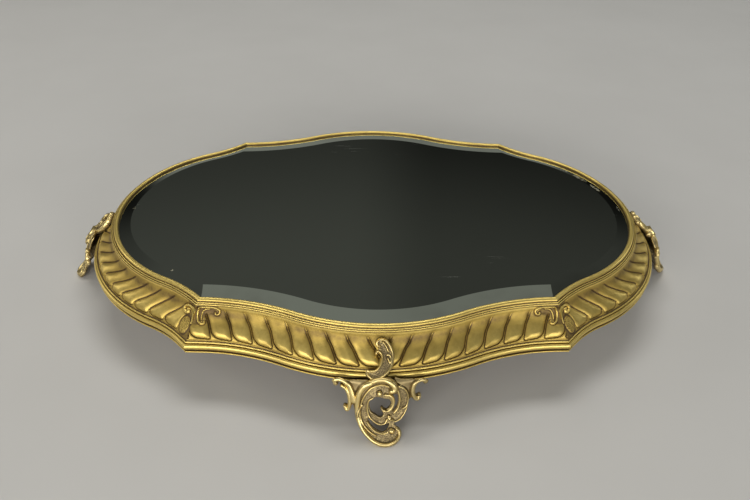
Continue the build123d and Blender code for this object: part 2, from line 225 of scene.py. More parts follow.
def strip(lobe, profile, rows, relief=None):
    """Vertices and faces of one mitred strip.  profile is a closed loop of (u, z)."""
    profile = np.asarray(profile, float)
    u, z = profile[:, 0], profile[:, 1]
    sigma = np.linspace(-1, 1, rows)[:, None]
    s = sigma * (lobe.s_end + u[None, :] * MITRE)
    if relief is not None:
        du, dz = relief(s)
        uu, zz = u[None, :] + du, z[None, :] + dz
    else:
        uu, zz = np.broadcast_to(u, s.shape), np.broadcast_to(z, s.shape)
    px, py, nx, ny = lobe.frame_at(s)
    x, y = lobe.world(px + nx * uu, py + ny * uu)
    verts = np.stack([x, y, zz], -1).reshape(-1, 3)
    count = len(profile)
    quads = grid_quads(rows, count, wrap_columns=True)
    caps = [np.arange(count)[None, :], (np.arange(count)[::-1] + (rows - 1) * count)[None, :]]
    return verts, [quads] + caps, s


def outward(verts, faces):
    """Flips the faces if the closed mesh is inside out."""
    volume = 0.0
    for block in faces:
        a = verts[block[:, 0]]
        for k in range(1, block.shape[1] - 1):
            b, c = verts[block[:, k]], verts[block[:, k + 1]]
            volume += np.einsum("ij,ij->i", a, np.cross(b, c)).sum()
    return faces if volume > 0 else [block[:, ::-1] for block in faces]


# --- Materials ---
class Shader:
    """A small helper round one node tree."""

    def __init__(self, name):
        self.material = bpy.data.materials.new(name)
        self.material.use_nodes = True
        self.tree = self.material.node_tree
        self.bsdf = self.tree.nodes["Principled BSDF"]
        self.coords = self.node("ShaderNodeTexCoord").outputs["Object"]

    def node(self, kind, inputs=None, **settings):
        made = self.tree.nodes.new(kind)
        for key, value in settings.items():
            setattr(made, key, value)
        for key, value in (inputs or {}).items():
            made.inputs[key].default_value = value
        return made

    def link(self, source, target):
        self.tree.links.new(source, target)

    def noise(self, scale, detail=4.0, roughness=0.55, stretch=None, distortion=0.0):
        inputs = {"Scale": scale, "Detail": detail, "Roughness": roughness, "Distortion": distortion}
        made = self.node("ShaderNodeTexNoise", inputs)
        source = self.coords
        if stretch:
            mapping = self.node("ShaderNodeMapping", {"Scale": stretch})
            self.link(self.coords, mapping.inputs["Vector"])
            source = mapping.outputs["Vector"]
        self.link(source, made.inputs["Vector"])
        return made.outputs["Fac"]

    def spots(self, scale, low, high):
        made = self.node("ShaderNodeTexVoronoi", {"Scale": scale})
        self.link(self.coords, made.inputs["Vector"])
        return self.ramp(made.outputs["Distance"], low, high, 1.0, 0.0)

    def ramp(self, value, low, high, to_low=0.0, to_high=1.0):
        inputs = {"From Min": low, "From Max": high, "To Min": to_low, "To Max": to_high}
        made = self.node("ShaderNodeMapRange", inputs, interpolation_type="SMOOTHSTEP")
        self.link(value, made.inputs["Value"])
        return made.outputs["Result"]

    def math(self, operation, a, b, clamp=False):
        made = self.node("ShaderNodeMath", operation=operation, use_clamp=clamp)
        for socket, value in zip(made.inputs, (a, b)):
            if isinstance(value, (int, float)):
                socket.default_value = value
            else:
                self.link(value, socket)
        return made.outputs[0]

    def mix(self, factor, a, b):
        made = self.node("ShaderNodeMix", data_type="RGBA")
        self.link(factor, made.inputs["Factor"])
        for socket, value in ((made.inputs["A"], a), (made.inputs["B"], b)):
            if isinstance(value, tuple):
                socket.default_value = (*value, 1.0)
            else:
                self.link(value, socket)
        return made.outputs["Result"]

    def attribute(self, name):
        return self.node("ShaderNodeAttribute", attribute_name=name).outputs["Fac"]

    def bump(self, height, strength, distance, under=None):
        made = self.node("ShaderNodeBump", {"Strength": strength, "Distance": distance})
        self.link(height, made.inputs["Height"])
        if under is not None:
            self.link(under, made.inputs["Normal"])
        return made.outputs["Normal"]


def gilt(name, bright, mid, dark, wear_and_painted_light_name="wear_and_painted_light", shine=0.27, dull=0.62, grain=0.0):
    """Old gilding: burnished where it stands proud, brown and duller in the recesses; the attribute it reads
    also carries painted shade along the frieze grooves and round the feet's rims and pearls, and a painted
    highlight just under the rim.
    """
    m = Shader(name)
    wear_and_painted_light = m.attribute(wear_and_painted_light_name) if wear_and_painted_light_name else m.ramp(m.noise(60, 3), 0.35, 0.7, 0.35, 0.75)
    blotch = m.noise(38, 5, 0.6)
    fine = m.noise(420, 4, 0.6)
    shifted = m.math("ADD", wear_and_painted_light, m.math("MULTIPLY", m.math("SUBTRACT", blotch, 0.5), 0.55))
    shifted = m.math("ADD", shifted, m.math("MULTIPLY", m.math("SUBTRACT", fine, 0.5), 0.22))
    if grain:
        stipple = m.math("MULTIPLY", m.math("SUBTRACT", m.noise(1300, 2, 0.5), 0.5), 1.5)
        shifted = m.math("ADD", shifted, m.math("MULTIPLY", stipple, m.attribute("grain")))
    low = m.mix(m.ramp(shifted, 0.12, 0.46), dark, mid)
    colour = m.mix(m.ramp(shifted, 0.42, 0.86), low, bright)
    tarnish = m.ramp(m.noise(14, 4, 0.65), 0.52, 0.72, 0.0, 0.42)
    colour = m.mix(tarnish, colour, tuple(0.62 * c for c in mid))
    specks = m.math("MULTIPLY", m.spots(520, 0.05, 0.16), m.ramp(m.noise(90, 2), 0.5, 0.62))
    colour = m.mix(m.math("MULTIPLY", specks, 0.6), colour, tuple(0.5 * c for c in dark))
    m.link(colour, m.bsdf.inputs["Base Color"])
    m.bsdf.inputs["Metallic"].default_value = 1.0
    rough = m.ramp(shifted, 0.15, 0.85, dull, shine)
    rough = m.math("ADD", rough, m.math("MULTIPLY", m.math("SUBTRACT", fine, 0.5), 0.16))
    m.link(rough, m.bsdf.inputs["Roughness"])
    normal = m.bump(m.noise(150, 3, 0.5), 0.10, 0.0003)
    if grain:
        normal = m.bump(
            m.math("MULTIPLY", m.noise(1300, 2, 0.5), m.attribute("grain")), grain, 0.0005, normal
        )
    m.link(normal, m.bsdf.inputs["Normal"])
    return m.material


def mirror_material():
    m = Shader("silvered_glass")
    blush = m.noise(9, 4, 0.6)
    edge = m.attribute("edge")
    clear = (0.70, 0.735, 0.64)
    foxed = (0.34, 0.33, 0.27)
    veil = m.math("MULTIPLY", m.ramp(blush, 0.5, 0.75), m.ramp(edge, 0.35, 1.0, 0.05, 0.5))
    colour = m.mix(veil, clear, foxed)
    loss = m.attribute("loss")
    ragged = m.math("ADD", loss, m.math("MULTIPLY", m.math("SUBTRACT", m.noise(260, 5, 0.7), 0.5), 0.9))
    bare = m.math("MULTIPLY", m.ramp(ragged, 0.5, 0.62), m.ramp(loss, 0.02, 0.1))
    patches = m.mix(m.ramp(m.noise(600, 3, 0.6), 0.4, 0.6), (0.10, 0.09, 0.05), (0.62, 0.60, 0.47))
    colour = m.mix(bare, colour, patches)
    pin = m.math("MULTIPLY", m.spots(75, 0.012, 0.03), m.ramp(m.noise(11, 2), 0.58, 0.66))
    colour = m.mix(m.math("MULTIPLY", pin, 0.8), colour, (0.75, 0.74, 0.62))
    hairs = m.ramp(m.noise(1, 3, 0.6, stretch=(14, 620, 1), distortion=0.25), 0.66, 0.72)
    hairs = m.math("MULTIPLY", hairs, m.ramp(m.noise(8, 2), 0.54, 0.66))
    colour = m.mix(m.math("MULTIPLY", hairs, 0.35), colour, (1.0, 1.0, 0.92))
    m.link(colour, m.bsdf.inputs["Base Color"])
    m.bsdf.inputs["Metallic"].default_value = 1.0
    haze = m.ramp(m.noise(22, 5, 0.7, stretch=(1, 2.4, 1)), 0.45, 0.8, 0.025, 0.07)
    haze = m.math("ADD", haze, m.math("MULTIPLY", hairs, 0.25))
    m.link(m.math("ADD", haze, m.math("MULTIPLY", bare, 0.5)), m.bsdf.inputs["Roughness"])
    m.bsdf.inputs["Coat Weight"].default_value = 0.6
    m.bsdf.inputs["Coat Roughness"].default_value = 0.02
    scratch = m.noise(30, 6, 0.75, stretch=(1.0, 22.0, 1.0), distortion=0.6)
    m.link(m.bump(scratch, 0.02, 0.0002), m.bsdf.inputs["Normal"])
    return m.material


def wood_material():
    m = Shader("board_wood")
    inputs = {"Scale": 22.0, "Distortion": 7.0, "Detail": 3.0, "Detail Scale": 1.4}
    rings = m.node("ShaderNodeTexWave", inputs, wave_type="BANDS", bands_direction="Y")
    mapping = m.node("ShaderNodeMapping", {"Scale": (0.12, 1.0, 1.0)})
    m.link(m.coords, mapping.inputs["Vector"])
    m.link(mapping.outputs["Vector"], rings.inputs["Vector"])
    fibre = m.noise(260, 5, 0.65, stretch=(0.05, 1.0, 1.0))
    colour = m.mix(m.ramp(rings.outputs["Fac"], 0.2, 0.9), (0.20, 0.115, 0.055), (0.34, 0.21, 0.11))
    colour = m.mix(m.ramp(fibre, 0.45, 0.75, 0.0, 0.55), colour, (0.12, 0.07, 0.035))
    colour = m.mix(m.ramp(m.noise(12, 4), 0.5, 0.8, 0.0, 0.4), colour, (0.10, 0.075, 0.05))
    m.link(colour, m.bsdf.inputs["Base Color"])
    m.link(m.ramp(fibre, 0.3, 0.7, 0.62, 0.82), m.bsdf.inputs["Roughness"])
    m.link(m.bump(fibre, 0.35, 0.0004), m.bsdf.inputs["Normal"])
    return m.material


def plain_metal(name, bright, dark, rough, scale=90):
    m = Shader(name)
    stain = m.noise(scale, 5, 0.6)
    lines = m.noise(900, 3, 0.6, stretch=(1, 0.08, 1))
    m.link(m.mix(m.ramp(stain, 0.35, 0.7), dark, bright), m.bsdf.inputs["Base Color"])
    m.bsdf.inputs["Metallic"].default_value = 1.0
    worn = m.math("ADD", m.ramp(stain, 0.3, 0.7, rough + 0.2, rough), m.math("MULTIPLY", lines, 0.08))
    m.link(worn, m.bsdf.inputs["Roughness"])
    m.link(m.bump(lines, 0.15, 0.0002), m.bsdf.inputs["Normal"])
    return m.material


def card_material():
    m = Shader("card")
    fibre = m.noise(700, 4, 0.7)
    m.link(m.mix(m.ramp(fibre, 0.3, 0.7), (0.24, 0.2, 0.14), (0.36, 0.31, 0.23)), m.bsdf.inputs["Base Color"])
    m.bsdf.inputs["Roughness"].default_value = 0.9
    m.link(m.bump(fibre, 0.3, 0.0002), m.bsdf.inputs["Normal"])
    return m.material


GILT = gilt(
    "gilt_frame", (0.80, 0.615, 0.19), (0.50, 0.36, 0.095), (0.15, 0.10, 0.05),
    shine=0.46, dull=0.60, grain=0.8,
)
FOOT_METAL = gilt(
    "gilt_feet", (0.78, 0.62, 0.27), (0.42, 0.33, 0.165), (0.17, 0.13, 0.075),
    shine=0.36, dull=0.58, grain=0.9,
)
MIRROR = mirror_material()
PLAIN_BRASS = plain_metal("plain_brass", (0.62, 0.46, 0.2), (0.30, 0.2, 0.09), 0.38)
STEEL = plain_metal("screw_steel", (0.36, 0.35, 0.33), (0.14, 0.12, 0.1), 0.42, 200)
WOOD = wood_material()
CARD = card_material()


# --- Rim and base mouldings ---
def with_wear(parts):
    """Joins (points, wear) runs into one loop."""
    points = np.vstack([p for p, _ in parts])
    wear_and_painted_light = np.concatenate([np.broadcast_to(w, (len(p),)) for p, w in parts])
    return points, wear_and_painted_light


def bead(p, q, height, count, proud=(0, 1), low=0.1, high=1.0):
    """A rounded bead from p to q with its wear, brightest on its crest."""
    curve = arc(p, q, (proud[0] * height, proud[1] * height), count)
    a = np.linspace(0, math.pi, count + 1)[1:]
    return curve, low + (high - low) * np.sin(a) ** 0.7


def rim_profile():
    n = max(5, int(12 * DETAIL))
    return with_wear([
        (np.array([(0.0, LIP_BOTTOM), (0.0, 69.4)]), [0.1, 0.2]),
        bead((0.0, 69.5), (3.9, 69.0), 1.6, 2 * n, low=0.3),
        (np.array([(4.05, 68.5), (4.25, 68.15), (4.4, 68.1)]), 0.0),
        bead((4.45, 68.2), (5.25, 67.9), 0.45, n, low=0.2),
        (np.array([(5.35, 67.6), (5.5, 67.3), (5.6, 67.3)]), 0.0),
        bead((5.65, 67.4), (6.45, 67.0), 0.5, n, (0.25, 0.95), low=0.3),
        (np.array([(6.55, 66.9), (RIM_WIDTH, 66.8), (RIM_WIDTH, RIM_BOTTOM)]), 0.1),
        (np.array([(REBATE, RIM_BOTTOM), (REBATE, LIP_BOTTOM)]), 0.1),
    ])


def base_profile():
    n = max(6, int(14 * DETAIL))
    top = FRIEZE_BOTTOM
    return with_wear([
        (np.array([(12.0, BASE_BOTTOM), (12.0, top), (22.2, top)]), [0.2, 0.1, 0.05]),
        (np.array([(22.5, top - 0.1), (22.6, top - 0.35)]), 0.05),
        bead((22.7, top - 0.2), (23.3, top - 1.55), 0.75, n, (0.85, 0.5)),
        (np.array([(22.9, top - 1.75), (22.9, top - 2.0)]), 0.0),
        bead((23.5, top - 2.0), (24.0, top - 6.7), 2.1, 2 * n, (1, 0.15), 0.12),
        (np.array([(23.3, top - 7.0), (23.0, top - 7.6), (23.3, top - 8.1), (24.2, top - 8.4)]), 0.05),
        (np.array([(25.0, top - 8.45), (25.2, top - 8.7), (25.2, top - 9.3)]), [0.7, 1, 0.9]),
        (np.array([(25.0, BASE_BOTTOM)]), 0.5),
    ])


MOULDING_ROWS = {"front": 460, "left": 560, "back": 460, "right": 560}
for lobe in LOBES:
    rows = int(MOULDING_ROWS[lobe.name] * DETAIL)
    for kind, shape in (("rim_moulding", rim_profile), ("base_moulding", base_profile)):
        profile, wear_and_painted_light = shape()
        verts, faces, s = strip(lobe, profile, rows)
        bands = np.broadcast_to(wear_and_painted_light, s.shape).ravel()
        faces = outward(verts, faces)
        piece(
            f"{kind}_{lobe.name}_look", verts, faces, GILT,
            (f"{kind}_{lobe.name}",), values={"wear_and_painted_light": bands}, sharp=50,
        )


# --- Frieze: gadroons, ridges and corner scrolls in real relief ---
FRIEZE_TOP = RIM_BOTTOM + 0.6  # tucked under the rim's last reed
OUTSIDE = smooth([
    (0, 0), (0.05, 0.167), (0.17, 0.333), (0.364, 0.495),
    (0.623, 0.657), (0.844, 0.795), (0.974, 0.914), (1, 1),
], 30)
OUTSIDE = np.stack([
    RIM_WIDTH + FLARE * OUTSIDE[:, 0],
    FRIEZE_TOP - (FRIEZE_TOP - FRIEZE_BOTTOM) * OUTSIDE[:, 1],
], -1)
OUTSIDE_RUN = np.concatenate([[0], np.cumsum(np.hypot(*np.diff(OUTSIDE, axis=0).T))])
RUN = OUTSIDE_RUN[-1]

# ribs in (distance from the mitre, distance down the profile), with half width and height
FRONT_SCROLLS = [
    ([
        (6.4, 2.6), (8, 1.2), (12, 0.9), (16.6, 0.9), (20.3, 1.6), (22.2, 3.6), (21.6, 6), (19.7, 6.7),
        (18.8, 5.2),
    ], 0.65, 0.9),
    ([(7.4, 2), (6.1, 5), (5.8, 8.6), (6.5, 12.2), (8.6, 14.2), (10.7, 13.8), (11, 12.2)], 0.75, 1),
    ([(14.6, 2.7), (12, 3), (9.9, 4.8), (9, 7.4), (8.7, 10.6)], 0.4, 0.5),
]
SIDE_SCROLLS = [
    ([
        (12.4, 7.2), (11.8, 9.4), (14.2, 10), (16.6, 8), (15.2, 5.3), (10.6, 3.8), (6.4, 4.7), (3.6, 7.6),
        (1.2, 12), (-0.6, 16.4), (-2, 21), (-3.4, 26.8),
    ], 1.15, 1.4),
    ([(13.6, 6.4), (10.6, 6), (7.4, 7.4), (5, 10.8), (3.4, 14.6)], 0.5, 0.7),
]

# Gadroons of each kind of lobe: the first groove's distance from the mitre, the pitch, how far a groove
# leans (by its distance from the mitre), how that lean dies away (by distance down the profile), the
# rounding of a gadroon's two lower corners, the strip left under it, and half the gap between two.
FRONT_GADROONS = {
    "first": 17.4, "pitch": 16.8,
    "sweep": ([0, 17, 34, 51, 68, 85, 149], [5.0, 6.8, 8.9, 11.3, 13.0, 13.6, 13.4]),
    "fade": ([0, 2.4, 8.1, 12.9, 18.1, 23.7, 27], [1.1, 1.0, 0.757, 0.47, 0.243, 0.037, 0]),
    "corner": 5.6, "foot": 2.4, "floor": 0.9, "floor_rise": 0.13, "gap": 0.6,
}
SIDE_GADROONS = {
    "first": 13.8, "pitch": 16.95,
    "sweep": (
        [0, 14, 31, 48, 63, 80, 114, 150, 190],
        [5.0, 8.0, 17.0, 21.0, 24.5, 26.0, 27.0, 29.0, 29.0],
    ),
    "fade": (
        [0, 2.0, 6.0, 8.5, 11.3, 16.3, 20.0, 22.7, 25, 27],
        [1.08, 1.0, 0.8, 0.68, 0.525, 0.27, 0.085, 0.01, 0, 0],
    ),
    "corner": 2.6, "foot": 6.8, "floor": 0.8, "floor_rise": 0.0, "gap": 0.15,
}
MEASURED_AT = 18.0  # offset at which distances along the frieze are taken
GADROON_DEPTH = 1.7
GADROON_ROUND = 4.6  # distance over which a gadroon rises from its groove
BELLY_HEIGHT, BELLY_AT, BELLY_SPREAD = 0.4, 7.5, 5.5
RIDGE_RISE, RIDGE_SLOPE = 1.35, 0.65
# where and how wide the painted groove shade lies, measured from a gadroon's outline
GROOVE_SHADE_AT, GROOVE_SHADE_WIDTH = 0.12, 0.42
OVAL_CENTRE, OVAL_HALF, OVAL_RISE = (8.0, 18.6), (5.2, 7.2), 1.5
OVAL_COS, OVAL_SIN = 0.94, 0.34
FIELD_SINK = 0.5  # how far the plain field round the scrolls lies under the gadroons
GUTTER_DEPTH = 0.25


def from_mitre(lobe, s):
    """Distance from the mitre, measured along the frieze."""
    d = np.abs(s)
    at_inflection = lobe.s1 * (1 + MEASURED_AT / lobe.convex)
    at_corner = at_inflection + (lobe.s_end - lobe.s1) * (1 - MEASURED_AT / lobe.reverse)
    on_reverse = at_inflection + (d - lobe.s1) * (1 - MEASURED_AT / lobe.reverse)
    along = np.where(d < lobe.s1, d * (1 + MEASURED_AT / lobe.convex), on_reverse)
    along = np.where(d > lobe.s_end, at_corner + d - lobe.s_end, along)
    return at_corner + MEASURED_AT * MITRE - along


def gadroons(kind, a, b):
    """Height of the gadroons, and their wear with painted shade along the grooves and a painted highlight
    just under the rim, at distance a from the mitre and b down the profile.
    """
    up = RUN - b
    # follow each point down its leaning line to the bottom of the profile
    fine = np.linspace(0, RUN, 200)
    fade_fine = np.convolve(np.pad(np.interp(fine, *kind["fade"]), 9, mode="edge"), np.ones(19) / 19, "valid")
    fade = np.interp(b, fine, fade_fine)
    bottom = a
    for _ in range(5):
        bottom = a + np.interp(bottom, *kind["sweep"]) * fade
    slope = np.interp(bottom, *kind["sweep"]) * np.interp(b, fine, np.gradient(fade_fine, fine))
    square = 1 / np.sqrt(1 + slope**2)
    # distance inside the outline of the gadroon
    pitch = kind["pitch"]
    cell = np.floor((bottom - kind["first"]) / pitch)
    middle = (cell + 0.5) * pitch - (bottom - kind["first"])  # grows towards the mitre
    half = pitch / 2 - kind["gap"] / square
    rise = up - (kind["floor"] + kind["floor_rise"] * (middle + half))
    depth = np.minimum((half - np.abs(middle)) * square, rise)
    for radius, sign in ((kind["corner"], 1), (kind["foot"], -1)):
        across = (middle * sign - half) * square + radius
        in_corner = (across > 0) & (rise < radius)
        depth = np.where(in_corner, np.minimum(depth, radius - np.hypot(across, radius - rise)), depth)
    amount = smoothstep(1.0, 8.0, b)
    fall = np.clip(depth / GADROON_ROUND, 0, 1)
    tongue = GADROON_DEPTH * (np.sqrt(1 - (1 - fall) ** 2) - 1)
    belly = BELLY_HEIGHT * np.exp(-(((up - BELLY_AT) / BELLY_SPREAD) ** 2)) * fall
    ridge = RIDGE_RISE * smoothstep(0.0, RIDGE_SLOPE, -depth) - GADROON_DEPTH
    height = amount * np.where(depth > 0, tongue + belly, ridge)
    # brown in the cove, painted shade as a dark line along each groove, rubbed on the bellies, and a painted
    # highlight as a bright band along the top edge
    # painted shade: a dark line where each groove's shadow falls, darkening the gilt colour
    groove_shade = smoothstep(2.0, 7.0, b) * np.exp(-(((depth - GROOVE_SHADE_AT) / GROOVE_SHADE_WIDTH) ** 2))
    wear_and_painted_light = 0.56 - 0.27 * np.exp(-(((b - 6.2) / 4.4) ** 2)) + 0.16 * np.exp(-(((up - 7.0) / 4.5) ** 2)) * fall
    wear_and_painted_light = np.where(depth < 0, 0.48, wear_and_painted_light) * (1 - 0.9 * groove_shade)
    # painted highlight: a bright band just under the rim, where the cove catches the light
    wear_and_painted_light = np.maximum(wear_and_painted_light, 0.85 * (1 - smoothstep(0.8, 3.4, b)) * smoothstep(0.15, 0.7, b))
    wear_and_painted_light = np.where(up < 0.5, wear_and_painted_light * smoothstep(-0.3, 0.5, up), wear_and_painted_light)
    return height, wear_and_painted_light


def corner_ornament(side, a, b, height, wear_and_painted_light):
    """Adds the plain field, the stippled oval of the end lobes, and the scrolls beside each mitre."""
    up = RUN - b
    grain = np.zeros_like(wear_and_painted_light)
    if side:
        across, down = a - OVAL_CENTRE[0], b - OVAL_CENTRE[1]
        turned_a = across * OVAL_COS + down * OVAL_SIN
        turned_b = down * OVAL_COS - across * OVAL_SIN
        oval = np.hypot(turned_a / OVAL_HALF[0], turned_b / OVAL_HALF[1])
        plain = smoothstep(15.0, 12.6, a + 0.10 * b)
        plain = np.maximum(plain, smoothstep(1.35, 1.1, oval))
    else:
        plain = smoothstep(8.8, 6.8, a) * smoothstep(17.5, 13.5, b)
        plain = np.maximum(plain, smoothstep(20.0, 17.0, a) * smoothstep(7.5, 5.0, b))
    height = height * (1 - plain) - FIELD_SINK * plain * smoothstep(0.5, 3.0, b) * smoothstep(0.2, 2.0, up)
    wear_and_painted_light = wear_and_painted_light * (1 - plain) + 0.26 * plain
    if side:
        height = height + OVAL_RISE * np.clip(1 - oval**2, 0, 1) ** 0.5
        outline = np.exp(-(((oval - 1.03) / 0.1) ** 2))
        wear_and_painted_light = np.where(oval < 0.94, 0.46, wear_and_painted_light * (1 - 0.85 * outline))
        grain = np.where(oval < 0.9, 1.0, grain)
    for points, radius, rise in SIDE_SCROLLS if side else FRONT_SCROLLS:
        near, _ = distance_to(smooth(points, 7), a, b)
        rib = np.clip(1 - (near / radius) ** 2, 0, 1) ** 0.5
        gutter = np.exp(-(((near - radius - 0.35) / 0.4) ** 2))
        on_rib = np.maximum(height, -FIELD_SINK) + rise * rib
        height = np.where(near < radius, on_rib, height - GUTTER_DEPTH * gutter)
        wear_and_painted_light = np.where(near < radius, 0.5 + 0.5 * rib, wear_and_painted_light * (1 - 0.7 * gutter))
        grain = np.where(near < radius, 0.0, grain)
    return height, wear_and_painted_light, grain


def frieze_relief(lobe, s, b):
    """Height above the plain ogee, wear with painted groove shade and a painted highlight under the rim, and
    grain, at arc length s and distance b down the profile.
    """
    side = lobe.name in ("left", "right")
    a = from_mitre(lobe, s)
    height, wear_and_painted_light = gadroons(SIDE_GADROONS if side else FRONT_GADROONS, a, b)
    height, wear_and_painted_light, grain = corner_ornament(side, a, b, height, wear_and_painted_light)
    height = height * smoothstep(0.0, 0.5, b) * smoothstep(0.0, 0.35, RUN - b)
    return height, wear_and_painted_light, grain


FRIEZE_ROWS = {"front": 880, "left": 1060, "back": 880, "right": 1060}
FRIEZE_COLUMNS = 86


def make_frieze(lobe):
    across = int(FRIEZE_ROWS[lobe.name] * DETAIL)
    down = int(FRIEZE_COLUMNS * DETAIL)
    b = np.linspace(0, RUN, down)
    u = np.interp(b, OUTSIDE_RUN, OUTSIDE[:, 0])
    z = np.interp(b, OUTSIDE_RUN, OUTSIDE[:, 1])
    tu, tz = np.gradient(u, b), np.gradient(z, b)
    length = np.hypot(tu, tz)
    nu, nz = -tz / length, tu / length
    inner = np.array([
        (18.0, FRIEZE_BOTTOM), (17.0, 47.4), (14.0, 50.0), (9.6, 53.6), (5.9, 57.8), (4.1, 62.0),
        (4.1, RIM_BOTTOM),
    ])
    profile = np.vstack([np.stack([u, z], -1), inner])
    result = {}

    def relief(s):
        height, wear_and_painted_light, grain = frieze_relief(lobe, s[:, :down], np.broadcast_to(b, (len(s), down)))
        du, dz = np.zeros(s.shape), np.zeros(s.shape)
        du[:, :down], dz[:, :down] = height * nu, height * nz
        result["wear_and_painted_light"] = np.hstack([wear_and_painted_light, np.full((len(s), len(inner)), 0.25)])
        result["grain"] = np.hstack([grain, np.zeros((len(s), len(inner)))])
        return du, dz

    verts, faces, _ = strip(lobe, profile, across, relief)
    piece(
        f"frieze_{lobe.name}_look", verts, outward(verts, faces), GILT,
        (f"frieze_{lobe.name}",), values=result, sharp=65,
    )


for lobe in LOBES:
    make_frieze(lobe)


# --- Feet: one pierced scroll casting, bent to each lobe ---
LEAF = [
    (-4.2, 4.6), (-4.8, 2.2), (-3.4, 0.2), (-0.8, -0.8), (2, 0.2), (4.8, 3.8), (6.9, 8.6), (7.2, 12.8),
    (6.3, 17.6), (3.9, 21.8), (0.9, 24.9), (-2.7, 27.4), (-6.9, 28.2), (-9.9, 25.9), (-11.8, 23.5),
    (-11.6, 21.6), (-10.5, 21.8), (-7.5, 21.7), (-4.2, 20), (-1.8, 16.8), (-0.8, 13.4), (-1, 10.6),
    (-2.6, 8.2), (-4.2, 8.2), (-4.6, 9.4), (-3.2, 6.4),
]
BODY = [
    (-7.5, 27.1), (-11.1, 28.6), (-14.7, 30.7), (-18.6, 36), (-20.1, 43.1), (-20.7, 50.1), (-20.4, 56.9),
    (-19.5, 62.1), (-17.7, 67.7), (-14.7, 71.9), (-10.5, 76), (-6.3, 78.8), (-1.5, 80.4), (3.9, 79.8),
    (8.1, 77.4), (11.1, 74.2), (12.2, 70.1), (11.1, 67.1), (9, 65.3), (7.8, 63.4), (10.5, 62.1),
    (13.5, 60.1), (16.5, 56.2), (18.6, 51.4), (19.2, 45.9), (18.9, 40.4), (16.5, 36), (13.5, 33.6),
    (10.5, 32.4), (9.9, 30.1), (7.5, 27.4), (3.3, 25.3), (-2.7, 25.6),
]
HOLES = [
    [
        (-1.5, 41.7), (-4.5, 41.1), (-7.5, 42.4), (-9.9, 45.2), (-9.9, 49.4), (-8.7, 53.5), (-5.1, 56.2),
        (-1.8, 57.9), (0.3, 55.9), (-0.3, 53.5), (1.5, 52.5), (4.5, 50.1), (5.8, 46.6), (4.5, 43.4),
        (1.5, 42.7),
    ],
    [
        (5.1, 38.2), (8.7, 37.4), (10.8, 41.1), (10.9, 46.6), (9.6, 50.7), (6.9, 53.5), (8.1, 49),
        (8.5, 43.8), (7.2, 40.4),
    ],
    [
        (-11.4, 59.5), (-9.9, 63.4), (-6.9, 66.5), (-2.7, 68.9), (0.3, 68.3), (2.7, 65.9), (3.9, 63.1),
        (0.9, 63.7), (-2.7, 64.5), (-6.3, 63.1), (-9.3, 60.1),
    ],
]
WEBS = [
    [
        (-9.9, 27.7), (-15.9, 27), (-23.7, 27.6), (-27, 29.7), (-24.8, 34.2), (-23.6, 39.8), (-24.2, 46.6),
        (-22.2, 50.7), (-20.1, 54.2), (-17.7, 43.1), (-14.7, 34.2),
    ],
    [
        (8.1, 25.9), (14.1, 26.6), (23.6, 27.6), (23.5, 31.4), (20.9, 35.4), (20.9, 40.4), (21.3, 45.2),
        (19.2, 45.9), (17.7, 40.4), (13.5, 34.2),
    ],
]
# stroke: points, radius at the start, radius at the end, height of its crest over the field
EARS = [
    ([
        (-35.4, 33.6), (-36, 31.2), (-34, 29.2), (-30.6, 29), (-27.2, 31), (-24.6, 34.6), (-23, 39.6),
        (-21.7, 45.6),
    ], 2, 2.4, 1.5),
    ([
        (-30.6, 34.6), (-27.8, 36.2), (-25.6, 40.2), (-24.7, 45.4), (-24.7, 49.8), (-25.6, 53.2),
        (-27.2, 53.9), (-28, 52),
    ], 1.5, 1.7, 1.2),
    ([
        (31.8, 32.6), (30.4, 30.4), (27.6, 29.6), (24.9, 30.8), (22.7, 34), (21.9, 38.2), (22.6, 42.2),
        (24.6, 45.6), (26.8, 46.2), (27.2, 44.2),
    ], 2.2, 1.8, 1.5),
]
BANDS = [
    ([
        (-7.6, 28.8), (-3.9, 27.8), (0.9, 27.8), (5.1, 29.5), (8, 32.6), (8, 35.4), (6.2, 36),
    ], 2, 2.5, 2.6),
    ([
        (-9.3, 29.9), (-13.5, 32.7), (-17.1, 37.9), (-18.7, 45.2), (-19, 53.5), (-18, 61.4), (-15.8, 67.9),
        (-12, 73), (-7.2, 76.6), (-1.5, 78.4), (4, 77.7), (8, 75.2), (10.3, 71.8), (10.2, 68.8),
        (8.6, 66.9),
    ], 2.4, 0.9, 1.5),
    ([
        (1.5, 39.2), (4.8, 39.7), (7, 42.4), (7.6, 46.6), (6, 50.7), (3, 52.9), (0, 51.8), (-1, 50.3),
    ], 1.3, 0.9, 0.9),
    ([
        (-2.6, 4.4), (-4.1, 4), (-4.6, 2.2), (-3.4, 0.4), (-0.8, -0.6), (2, 0.4), (4.8, 4), (6.8, 8.6),
        (7.2, 12.8), (6.2, 17.5), (3.6, 21.5), (0.5, 24.4), (-3, 26.4), (-6.9, 27.4), (-9.8, 25.6),
        (-11.8, 23.4), (-11.6, 21.4), (-10.2, 21.8),
    ], 1.1, 1, 1.2),
    ([
        (-5, 9.4), (-4.2, 8), (-2.4, 8.4), (-0.8, 10.6), (-0.6, 13.8), (-1.8, 17.2), (-4.2, 20.2),
        (-7, 21.8), (-9.4, 21.6),
    ], 1, 0.8, 1.2),
]
